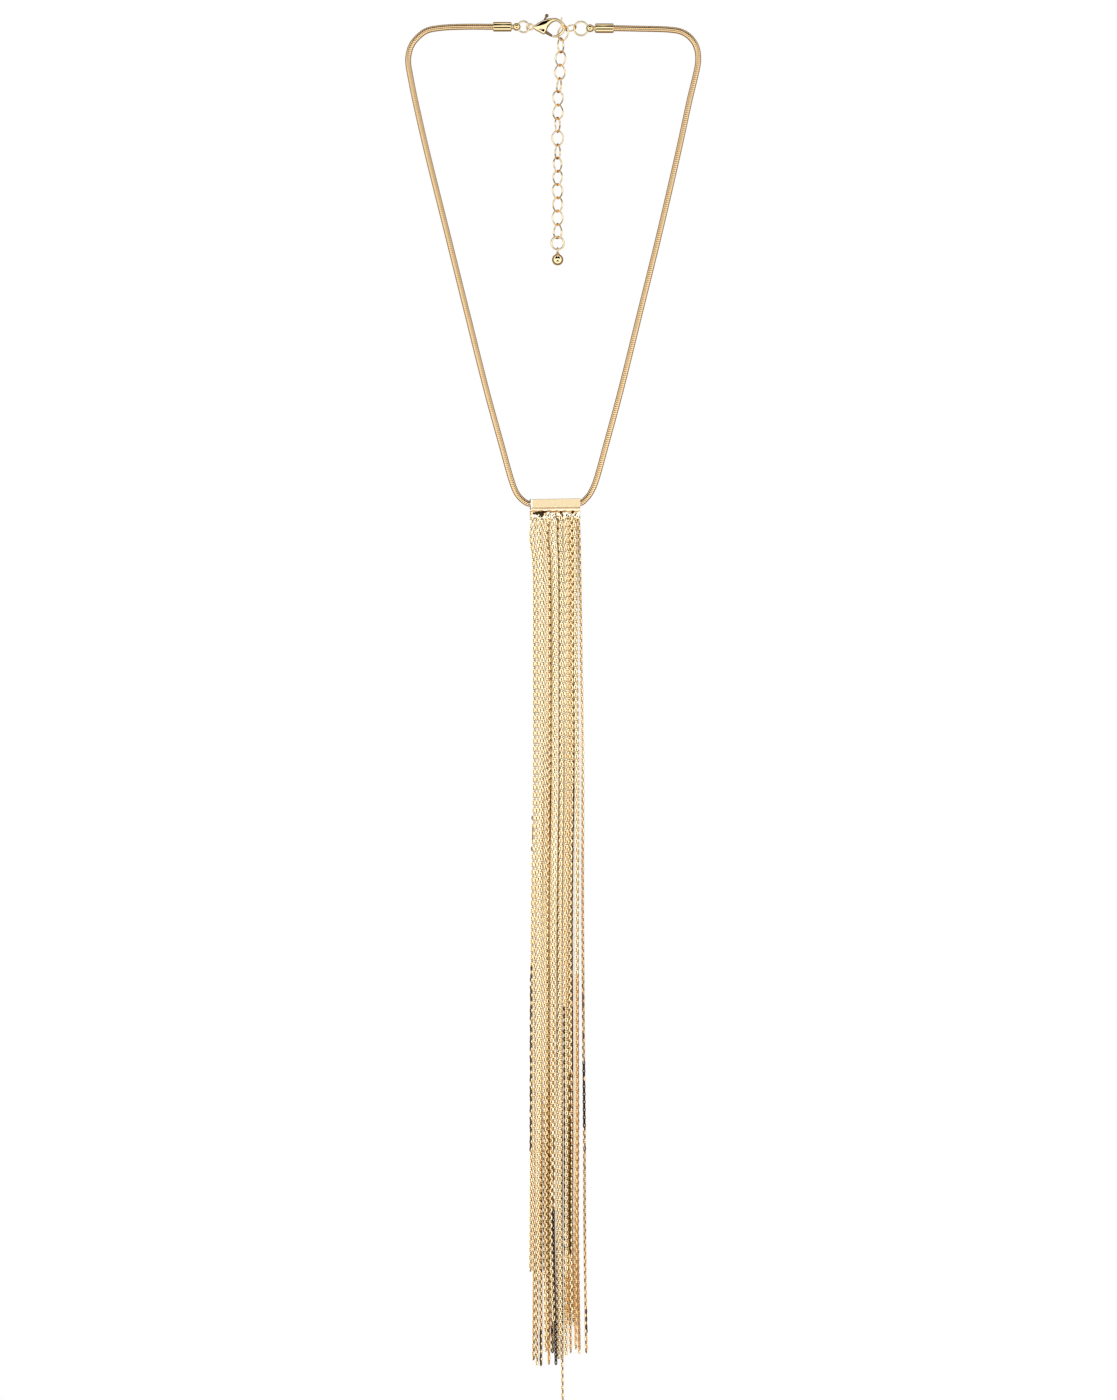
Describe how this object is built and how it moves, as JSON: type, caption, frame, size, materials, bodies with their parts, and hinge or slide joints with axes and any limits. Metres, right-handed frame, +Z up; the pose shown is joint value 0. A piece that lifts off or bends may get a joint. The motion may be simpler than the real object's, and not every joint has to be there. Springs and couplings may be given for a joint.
{
  "type": "lariat necklace",
  "caption": "Lariat necklace lying flat: snake chain loop with lobster clasp and extender, slider bar and a long fringe of fine chains.",
  "frame": {"origin": "middle of the slider bar's flat back, on the surface that the necklace lies on", "axes": "+Y from the bar towards the clasp, +X to the right as seen from above, +Z up off the surface"},
  "size_m": [0.1035, 0.4863, 0.0043],
  "materials": {
    "polished": "polished gold tone",
    "clasp_metal": "polished gold tone",
    "gate_metal": "satin gold tone",
    "snake_chain": "bright ribbed gold tone",
    "bar_metal": "satin gold tone",
    "fringe_metal": "bright gold tone, fine links"
  },
  "bodies": {
    "necklace": {"snake_chain_left": "snake_chain", "snake_chain_right": "snake_chain", "end_cap_left": "polished", "end_cap_right": "polished", "jump_ring_left": "polished", "clasp_body": "clasp_metal", "jump_ring_right": "polished", "connector_ring": "polished", "extender_link_01": "polished", "extender_link_02": "polished", "extender_link_03": "polished", "extender_link_04": "polished", "extender_link_05": "polished", "extender_link_06": "polished", "extender_link_07": "polished", "extender_link_08": "polished", "extender_link_09": "polished", "extender_link_10": "polished", "extender_link_11": "polished", "extender_link_12": "polished", "extender_link_13": "polished", "extender_link_14": "polished", "extender_link_15": "polished", "extender_link_16": "polished", "extender_ring": "polished", "ball_drop": "polished", "slider_bar": "bar_metal", "fringe": "fringe_metal"},
    "gate": {"clasp_gate": "gate_metal"}
  },
  "joints": [
    {"name": "gate_pivot", "type": "hinge", "parent": "necklace", "child": "gate", "pos_m": [-0.00469, 0.16585, 0.0014], "axis": [0, 0, 1], "range_deg": [0, 22], "stiffness_Nm_per_rad": 0.004}
  ]
}
